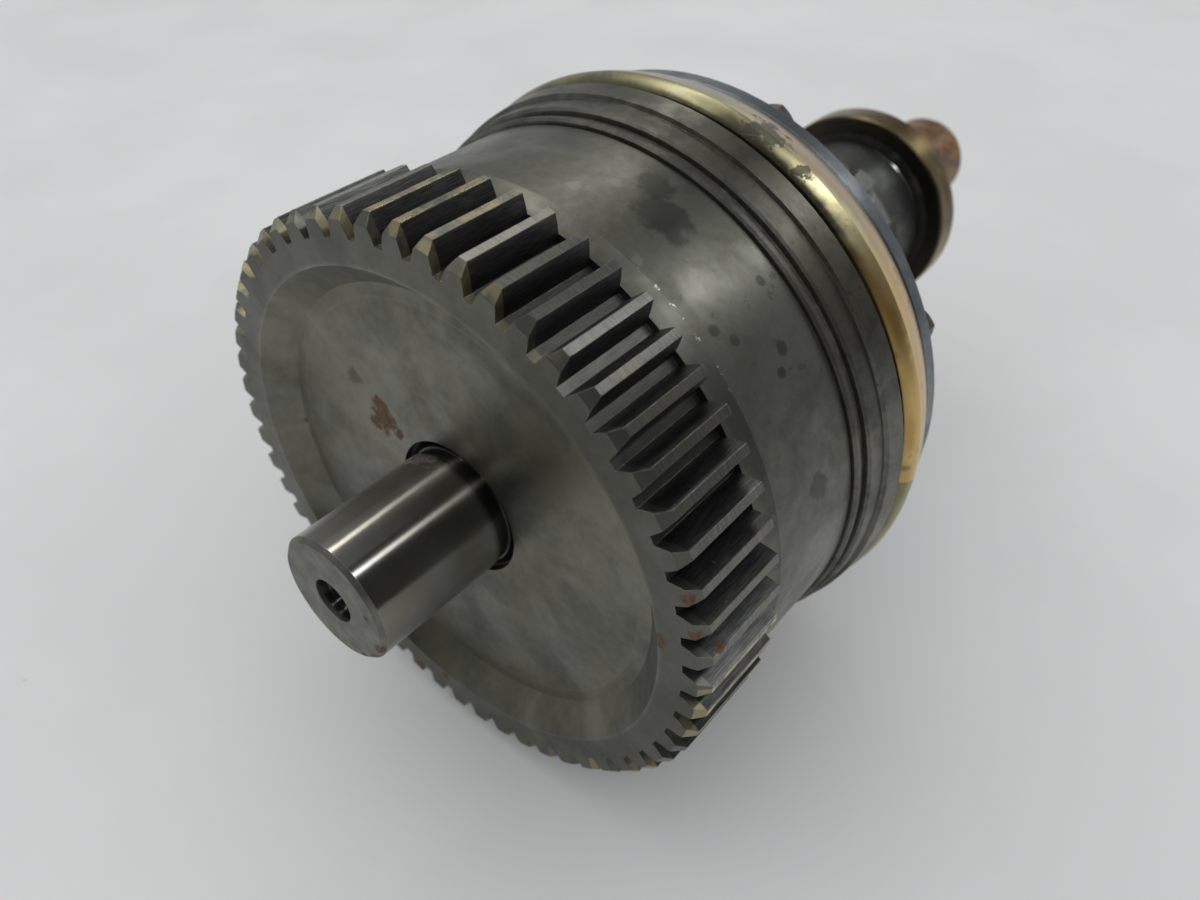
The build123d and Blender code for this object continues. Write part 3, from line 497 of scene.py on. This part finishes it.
def ground_journal():
    """Front shaft: ground bearing journal that glints along its length, matt end face, rust at the rim, painted
    shade in the centre hole and where the shaft runs into the web.
    """
    s = Shader("ground_journal")
    end_face = s.ramp(s.x, JOURNAL_END + 0.25 * MM, JOURNAL_END + 0.1 * MM)
    chamfer = s.ramp(s.x, JOURNAL_END + 1.1 * MM, JOURNAL_END + 0.9 * MM)
    grinding = s.noise(s.vector(s.times(s.x, 30.0), s.times(s.angle, 0.002), 0.0), 60.0, 4.0, 0.7)
    film = s.grain(60.0, 4.0, 0.6)
    colour = s.mix(s.ramp(film, 0.35, 0.7), JOURNAL_WARM, JOURNAL_COOL)
    colour = s.lay(colour, JOURNAL_LINE, s.ramp(grinding, 0.55, 0.8), 0.3)
    mottled = s.patches(0.3, 0.7, scale=240.0, detail=5.0, roughness=0.6)
    colour = s.mix(chamfer, colour, s.mix(mottled, END_FACE_DARK, END_FACE_LIGHT))
    # Painted shade inside the centre hole.
    hole = s.times(s.ramp(s.radius, CENTRE_HOLE_R + 0.15 * MM, CENTRE_HOLE_R - 0.05 * MM),
                   s.ramp(s.x, JOURNAL_END + 0.3 * MM, JOURNAL_END + 2 * MM))
    colour = s.lay(colour, HOLE_SHADE, hole, 0.9)
    undercut_rust = s.times(s.between(s.x, 0.5 * MM, 4 * MM, 1 * MM),
                            s.between(s.angle, 0.6, 1.4, 0.2),
                            s.patches(0.42, 0.55, scale=420.0, detail=4.0, roughness=0.7))
    rust = s.most(s.blobs(JOURNAL_RUST, ragged=0.9, scale=500.0), undercut_rust)
    colour = s.lay(colour, rust_colour(s), rust, 0.85)
    # Painted shade where the shaft runs into the recess of the web, fading in from 2 mm to 4.2 mm.
    colour = s.lay(colour, UNDERCUT_SHADE, s.ramp(s.x, 2.0 * MM, 4.2 * MM), 0.85)
    roughness = s.blend(chamfer, s.blend(s.ramp(film, 0.4, 0.8), 0.25, 0.28), 0.50)
    roughness = s.blend(rust, roughness, 0.75)
    fine = s.times(s.grain(1500.0, 3.0), s.blend(end_face, 0.02, 0.5))
    height = s.plus(s.times(grinding, 0.15), fine)
    return s.finish(colour, roughness, s.blend(rust, 1.0, 0.1), height, relief=0.006 * MM, soft_edge=0.25 * MM,
                    Anisotropic=s.blend(chamfer, 1.0, 0.0), Tangent=s.vector(1.0, 0.0, 0.0))


def band_steel():
    """Stepped rear band and spacer ring: turned steel with scratches and a brownish oil film, and painted shade
    in the gap before the plated ring.
    """
    s = Shader("band_steel")
    colour, cloud, rings = weathered_steel(s, BAND_DARK, BAND_LIGHT, 70.0)
    streak = s.noise(s.vector(s.times(s.x, 5.0), s.y, s.z), 75.0, 5.0, 0.7)
    colour = s.lay(colour, BAND_STREAK, s.ramp(streak, 0.58, 0.72), 0.2)
    colour = s.lay(colour, BAND_OIL, s.patches(0.5, 0.65, scale=25.0, detail=2.0), 0.25)
    colour = s.lay(colour, BAND_BLOTCH, s.patches(0.54, 0.64, scale=130.0, detail=5.0, roughness=0.6), 0.45)
    colour = s.lay(colour, BAND_SPOT, s.patches(0.68, 0.74, scale=330.0, detail=2.0, roughness=0.5), 0.5)
    # Painted shade: near-black at the bottom of the gap in front of the plated ring.
    gap_shade = s.times(s.ramp(s.radius, BAND_R - 1.6 * MM, BAND_R - 2.2 * MM),
                     s.ramp(s.x, RING_FRONT - 3.2 * MM, RING_FRONT - 2.0 * MM))
    colour = s.mix(gap_shade, colour, BAND_GAP_SHADE)
    worn = s.times(s.edges(0.4 * MM), s.patches(0.46, 0.62, scale=300.0, detail=4.0))
    colour = s.lay(colour, BAND_WORN, worn, 0.5)
    height = s.plus(s.times(rings, 0.5), s.times(streak, 0.5))
    return s.finish(colour, s.blend(cloud, 0.46, 0.32), 1.0, height, relief=0.03 * MM, soft_edge=0.2 * MM)


def yellow_zinc():
    """Yellow chromated zinc: glossy, banded from a front lip darkened by painted shade through a yellow-green
    painted crest highlight to tan and brown, with a painted gold sheen on one side, painted olive shade near
    the top, darker towards the rear edge, worn to dark metal in places.
    """
    s = Shader("yellow_zinc")
    drift = s.noise(s.vector(s.times(s.x, 0.6), s.y, s.z), 42.0, 4.0, 0.6, 0.6)
    across = s.plus(s.x, s.times(s.minus(drift, 0.5), 9 * MM))
    # Bands along the ring: a front lip in painted shade, then a yellow painted crest highlight, then tan and
    # brown towards the rear.
    colour = s.mix(s.ramp(across, RING_FRONT, RING_FRONT + 2.2 * MM), ZINC_LIP_SHADE, ZINC_CREST_HIGHLIGHT)
    colour = s.mix(s.ramp(across, RING_FRONT + 3.2 * MM, RING_FRONT + 6.0 * MM), colour, ZINC_TAN)
    colour = s.mix(s.ramp(across, RING_FRONT + 8 * MM, RING_FRONT + 12 * MM), colour, ZINC_BROWN)
    green = s.patches(0.54, 0.66, scale=55.0, detail=3.0, roughness=0.5, distortion=1.0)
    colour = s.lay(colour, ZINC_GREEN, green, 0.3)
    # Painted light by side: a gold sheen between 128° and 145° round the axis, and darker olive shade near the
    # top.
    colour = s.lay(colour, ZINC_SIDE_SHEEN, s.ramp(s.angle, 128 * DEG, 145 * DEG), 0.7)
    colour = s.lay(colour, ZINC_TOP_SHADE, s.ramp(s.angle, 112 * DEG, 95 * DEG), 0.7)
    # Darker towards the rear edge.
    colour = s.lay(colour, ZINC_REAR_DARK, s.ramp(s.x, RING_REAR - 3 * MM, RING_REAR), 0.6)
    grime = s.patches(0.57, 0.68, scale=190.0, detail=6.0, roughness=0.7)
    worn = s.most(s.blob(around(80 * MM, RING_R, 110), 4.6 * MM, ragged=1.2, scale=330.0), s.times(grime, 0.6))
    worn = s.most(worn, s.blob(around(77 * MM, RING_R, 119), 2.2 * MM, ragged=1.2, scale=430.0))
    colour = s.lay(colour, ZINC_WORN, worn, 0.85)
    roughness = s.blend(worn, s.blend(s.grain(300.0), 0.26, 0.38), 0.5)
    height = s.plus(s.grain(420.0), s.times(worn, -0.6))
    return s.finish(colour, roughness, 0.9, height, relief=0.04 * MM, soft_edge=0.2 * MM,
                    Coat_Weight=0.25, Coat_Roughness=0.18)


def cover_steel():
    """Rear cover: bluish ground steel with a bright, nicked rim: edge wear with a painted rim highlight."""
    s = Shader("cover_steel")
    colour, cloud, rings = weathered_steel(s, COVER_DARK, COVER_LIGHT, 80.0)
    # Bright rim: edge wear and a painted rim highlight.
    rim = s.times(s.edges(0.5 * MM), s.patches(0.3, 0.55, scale=260.0, detail=4.0))
    colour = s.lay(colour, COVER_RIM_WEAR_AND_GLINT, rim, 0.7)
    grime = s.patches(0.55, 0.75, scale=260.0, detail=5.0, roughness=0.7)
    colour = s.lay(colour, COVER_GRIME, grime, 0.4)
    roughness = s.blend(cloud, 0.45, 0.28)
    return s.finish(colour, roughness, 1.0, s.plus(rings, grime), relief=0.02 * MM, soft_edge=0.2 * MM)


def pinion_steel():
    """Rear shaft: dark hardened steel, bright lands on the pinion, rusty end stub."""
    s = Shader("pinion_steel")
    colour, cloud, rings = weathered_steel(s, PINION_DARK, PINION_LIGHT, 90.0)
    along = s.noise(s.vector(s.times(s.x, 0.1), s.y, s.z), 2500.0, 2.0, 0.6)
    colour = s.lay(colour, PINION_LINE, s.ramp(along, 0.4, 0.7), 0.4)
    lands = s.times(s.ramp(s.radius, 25 * MM, 27 * MM), s.ramp(s.x, COVER_REAR, COVER_REAR + 2 * MM))
    colour = s.lay(colour, PINION_LAND, lands, 0.6)
    worn = s.times(s.edges(0.5 * MM), s.patches(0.35, 0.6, scale=300.0, detail=3.0))
    colour = s.lay(colour, PINION_WORN, worn, 0.6)
    ragged = s.times(s.minus(s.grain(200.0, 5.0, 0.7), 0.5), 12 * MM)
    stub = s.ramp(s.plus(s.x, ragged), BEARING_REAR + 1 * MM, BEARING_REAR + 5 * MM)
    thin = s.patches(0.68, 0.5, scale=110.0, detail=5.0, roughness=0.65)
    rust = s.times(stub, s.most(thin, 0.35))
    mottled = s.patches(0.35, 0.65, scale=260.0, detail=6.0, roughness=0.7)
    colour = s.mix(rust, colour, s.mix(mottled, STUB_RUST_DARK, STUB_RUST_LIGHT))
    roughness = s.blend(rust, s.blend(cloud, 0.5, 0.33), 0.42)
    scale_bumps = s.times(s.grain(1200.0, 5.0), s.blend(rust, 0.2, 1.6))
    height = s.plus(s.times(rings, 0.4), scale_bumps)
    return s.finish(colour, roughness, s.blend(rust, 1.0, 0.25), height, relief=0.04 * MM, soft_edge=0.3 * MM)


def varnished_race():
    """Outer ring of the rear bearing: ground steel browned by burnt oil, its edges lighter with wear and a
    painted golden highlight, its front face dark with painted shade over oil.
    """
    s = Shader("varnished_race")
    drift = s.noise(s.vector(s.times(s.x, 2.0), s.y, s.z), 70.0, 4.0, 0.6)
    colour = s.mix(s.ramp(drift, 0.3, 0.65), RACE_DARK, RACE_LIGHT)
    # Lighter edges: wear and a painted golden edge highlight.
    colour = s.lay(colour, RACE_EDGE_WEAR_AND_GLINT, s.edges(0.5 * MM), 0.6)
    # Painted shade on the front face, over some dark oil.
    shaded_face = s.ramp(s.x, BEARING_FRONT + 0.5 * MM, BEARING_FRONT + 0.1 * MM)
    colour = s.lay(colour, RACE_FACE_SHADE, shaded_face, 0.85)
    roughness = s.blend(s.grain(300.0), 0.24, 0.42)
    return s.finish(colour, roughness, 1.0, s.turning(0.2 * MM), relief=0.01 * MM, soft_edge=0.4 * MM)


def polished_steel():
    """Balls and bearing rings: bright steel with an oil film and fine running lines."""
    s = Shader("polished_steel")
    oil = s.grain(150.0, 3.0)
    colour = s.mix(s.ramp(oil, 0.4, 0.7), POLISHED, POLISHED_OIL)
    roughness = s.blend(oil, 0.10, 0.24)
    return s.finish(colour, roughness, 1.0, s.turning(0.15 * MM), relief=0.004 * MM, soft_edge=0.2 * MM)


def hard_steel():
    """Inner gears and carrier parts: oiled hardened steel with grinding lines."""
    s = Shader("hard_steel")
    colour, cloud, rings = weathered_steel(s, HARD_DARK, HARD_LIGHT, 110.0)
    colour = s.lay(colour, HARD_WORN, s.edges(0.3 * MM), 0.5)
    return s.finish(colour, s.blend(cloud, 0.38, 0.24), 1.0, rings, relief=0.02 * MM, soft_edge=0.15 * MM)


def dark_steel():
    """Bolts, screws and circlips: black oxide rubbed through at the corners, with touches of rust."""
    s = Shader("dark_steel")
    mottled = s.grain(350.0, 5.0, 0.65)
    colour = s.mix(s.ramp(mottled, 0.35, 0.7), OXIDE_DARK, OXIDE_LIGHT)
    colour = s.lay(colour, OXIDE_WORN, s.edges(0.4 * MM), 0.6)
    rust = s.patches(0.55, 0.66, scale=180.0, detail=5.0, roughness=0.7)
    colour = s.lay(colour, rust_colour(s), rust, 0.8)
    roughness = s.blend(rust, 0.42, 0.85)
    return s.finish(colour, roughness, s.blend(rust, 1.0, 0.1), mottled, relief=0.05 * MM, soft_edge=0.2 * MM)


def bronze():
    """Bushes, washers and cages: bronze with brown tarnish."""
    s = Shader("bronze")
    tarnish = s.grain(160.0, 5.0, 0.6)
    colour = s.mix(s.ramp(tarnish, 0.35, 0.7), BRONZE_TARNISH, BRONZE_BRIGHT)
    roughness = s.blend(tarnish, 0.42, 0.25)
    return s.finish(colour, roughness, 1.0, s.turning(0.2 * MM), relief=0.02 * MM, soft_edge=0.15 * MM)


def oiled_rubber():
    """Seals and shields: black, with dust in the low places and a faint oil sheen."""
    s = Shader("oiled_rubber")
    dust = s.grain(220.0, 5.0, 0.6)
    colour = s.mix(s.ramp(dust, 0.45, 0.8), RUBBER, RUBBER_DUST)
    return s.finish(colour, s.blend(dust, 0.38, 0.7), 0.0, dust, relief=0.05 * MM, soft_edge=0.15 * MM)


def oiled_paper():
    """Gaskets: dark oil-soaked paper, a little lighter where it has frayed."""
    s = Shader("oiled_paper")
    frayed = s.grain(300.0, 5.0, 0.65)
    colour = s.mix(s.ramp(frayed, 0.4, 0.75), PAPER, PAPER_FRAYED)
    return s.finish(colour, 0.6, 0.0, frayed, relief=0.08 * MM, soft_edge=0.15 * MM)


# ---------------------------------------------------------------- finishes on the CAD nodes
FINISH_OF = {
    drum_steel: ["gear_drum"],
    ground_journal: ["carrier_shaft"],
    band_steel: ["rear_flange", "spacer_ring", "carrier_spacers"],
    yellow_zinc: ["plated_ring"],
    cover_steel: ["cover_plate"],
    pinion_steel: ["sun_pinion_shaft"],
    varnished_race: ["end_bearing_outer_ring"],
    polished_steel: [
        "front_bearing_inner_ring", "front_bearing_outer_ring", "front_bearing_balls",
        "hub_bearing_inner_ring", "hub_bearing_outer_ring", "hub_bearing_balls",
        "end_bearing_inner_ring", "end_bearing_balls", "planet_pins",
    ],
    hard_steel: ["ring_gear", "carrier_rear_plate", "planet_gear_1", "planet_gear_2", "planet_gear_3"],
    dark_steel: ["cover_bolts", "carrier_screws", "bearing_circlip", "end_circlip"],
    bronze: [
        "planet_bush_1", "planet_bush_2", "planet_bush_3", "pilot_bush", "thrust_washers",
        "front_bearing_cage", "hub_bearing_cage", "end_bearing_cage",
    ],
    oiled_rubber: ["front_seal", "rear_seal", "end_bearing_shields"],
    oiled_paper: ["joint_gaskets"],
}

for make_material, names in FINISH_OF.items():
    material = make_material()
    for name in names:
        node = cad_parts[name]
        if not node.material_slots:
            node.data.materials.append(material)
        for material_slot in node.material_slots:
            material_slot.link = "OBJECT"
            material_slot.material = material


# ---------------------------------------------------------------- table, light and camera
TABLE_HALF = 3.0
TABLE_LIGHT = 0.80
ROOM_TINT = (0.97, 0.985, 1.0, 1.0)
# What polished faces see: a dim room with a paler side towards +Y and a low pale wall at +X.
ROOM_DARK = 0.06
ROOM_PALE = 0.42
PALE_SIDE = (0.0, 0.90)
WALL_LIGHT = 0.50
WALL_SIDE = (0.70, 0.82)
WALL_TOP = (0.20, 0.50)
CAMERA_AT = Vector((-0.0962, -0.1250, 0.1545))
CAMERA_BACK = Vector((-0.5829, -0.4793, 0.6561)).normalized()
LENS = 29.8
SENSOR = 36.0
APERTURE = 14.0
NEAREST = 0.01
FOCUS_AT = (0.0, 0.0, 0.6 * TOOTH_R)


def table_paper():
    """Pale table sheet: off-white, faintly clouded and smudged."""
    s = Shader("table_paper")
    colour = s.mix(s.patches(0.35, 0.7, scale=9.0), TABLE_GREY, TABLE_PALE)
    colour = s.lay(colour, TABLE_SMUDGE, s.patches(0.66, 0.80, scale=38.0, detail=5.0, roughness=0.7), 0.18)
    colour = s.lay(colour, TABLE_SPECK, s.patches(0.78, 0.82, scale=170.0, detail=2.0), 0.35)
    return s.finish(colour, 0.55, 0.0, s.grain(45.0, 3.0), relief=0.2 * MM, soft_edge=0.0)


def make_table():
    """A flat table under the part's lowest point."""
    low = CAD_BOX[0][2]
    mesh = bpy.data.meshes.new("table")
    corners = [(x * TABLE_HALF, y * TABLE_HALF, low) for x, y in ((-1, -1), (1, -1), (1, 1), (-1, 1))]
    mesh.from_pydata(corners, [], [(0, 1, 2, 3)])
    table = bpy.data.objects.new("table", mesh)
    bpy.context.collection.objects.link(table)
    table.data.materials.append(table_paper())


def area_light(name, place, size, power, tint, glints_only=False):
    """A ceiling lamp in line with the part, tilted to it; one for glints only lights no matt surface."""
    data = bpy.data.lights.new(name, "AREA")
    data.shape = "RECTANGLE"
    data.size, data.size_y = size
    data.energy = power
    data.color = tint
    lamp = bpy.data.objects.new(name, data)
    lamp.location = place
    lamp.rotation_euler = (math.atan2(-place[1], place[2]), 0, 0)
    lamp.visible_diffuse = not glints_only
    bpy.context.collection.objects.link(lamp)


def make_world():
    """Even soft light on matt surfaces, and a room with brighter and darker sides for the polished ones."""
    world = bpy.data.worlds.new("room")
    world.use_nodes = True
    nodes = world.node_tree.nodes
    links = world.node_tree.links
    direction = nodes.new("ShaderNodeSeparateXYZ")
    links.new(nodes.new("ShaderNodeTexCoord").outputs["Generated"], direction.inputs[0])

    def spread(axis, start, end, low, high):
        """low up to start and high past end, along one axis of the direction looked in."""
        made = nodes.new("ShaderNodeMapRange")
        made.interpolation_type = "SMOOTHSTEP"
        links.new(direction.outputs[axis], made.inputs[0])
        for index, number in enumerate((start, end, low, high), start=1):
            made.inputs[index].default_value = number
        return made.outputs[0]

    def join(operation, first, second):
        made = nodes.new("ShaderNodeMath")
        made.operation = operation
        links.new(first, made.inputs[0])
        links.new(second, made.inputs[1])
        return made.outputs[0]

    wall = join("MULTIPLY", spread("X", *WALL_SIDE, 0.0, WALL_LIGHT), spread("Z", *WALL_TOP, 1.0, 0.0))
    room = join("ADD", spread("Y", *PALE_SIDE, ROOM_DARK, ROOM_PALE), wall)
    strength = nodes.new("ShaderNodeMix")
    strength.data_type = "FLOAT"
    links.new(nodes.new("ShaderNodeLightPath").outputs["Is Glossy Ray"], strength.inputs[0])
    strength.inputs[2].default_value = TABLE_LIGHT
    links.new(room, strength.inputs[3])
    background = nodes["Background"]
    background.inputs["Color"].default_value = ROOM_TINT
    links.new(strength.outputs[0], background.inputs["Strength"])
    bpy.context.scene.world = world


def make_camera():
    """A camera low on the left of the gear's face, close to the object and with a wide lens."""
    data = bpy.data.cameras.new("camera")
    data.lens = LENS
    data.sensor_width = SENSOR
    data.clip_start = NEAREST
    focus = bpy.data.objects.new("focus_point", None)
    focus.location = FOCUS_AT
    bpy.context.collection.objects.link(focus)
    data.dof.use_dof = True
    data.dof.focus_object = focus
    data.dof.aperture_fstop = APERTURE
    camera = bpy.data.objects.new("camera", data)
    right = Vector((0, 0, 1)).cross(CAMERA_BACK).normalized()
    up = CAMERA_BACK.cross(right)
    turn = Matrix((right, up, CAMERA_BACK)).transposed().to_4x4()
    camera.matrix_world = Matrix.Translation(CAMERA_AT) @ turn
    bpy.context.collection.objects.link(camera)
    bpy.context.scene.camera = camera


make_table()
make_world()
make_camera()
area_light("ceiling_tube_left", (0.20, 0.66, 1.30), (2.6, 0.16),
           power=8.0, tint=(1.0, 0.99, 0.93), glints_only=True)
area_light("ceiling_tube_right", (0.85, -0.66, 1.30), (3.8, 0.16),
           power=13.0, tint=(0.98, 0.99, 1.0), glints_only=True)
area_light("ceiling_soft", (0.20, 0.45, 1.50), (1.8, 1.8),
           power=2.5, tint=(0.99, 1.0, 1.0))
bpy.context.scene.view_settings.view_transform = "Standard"
bpy.context.scene.view_settings.exposure = 0.0
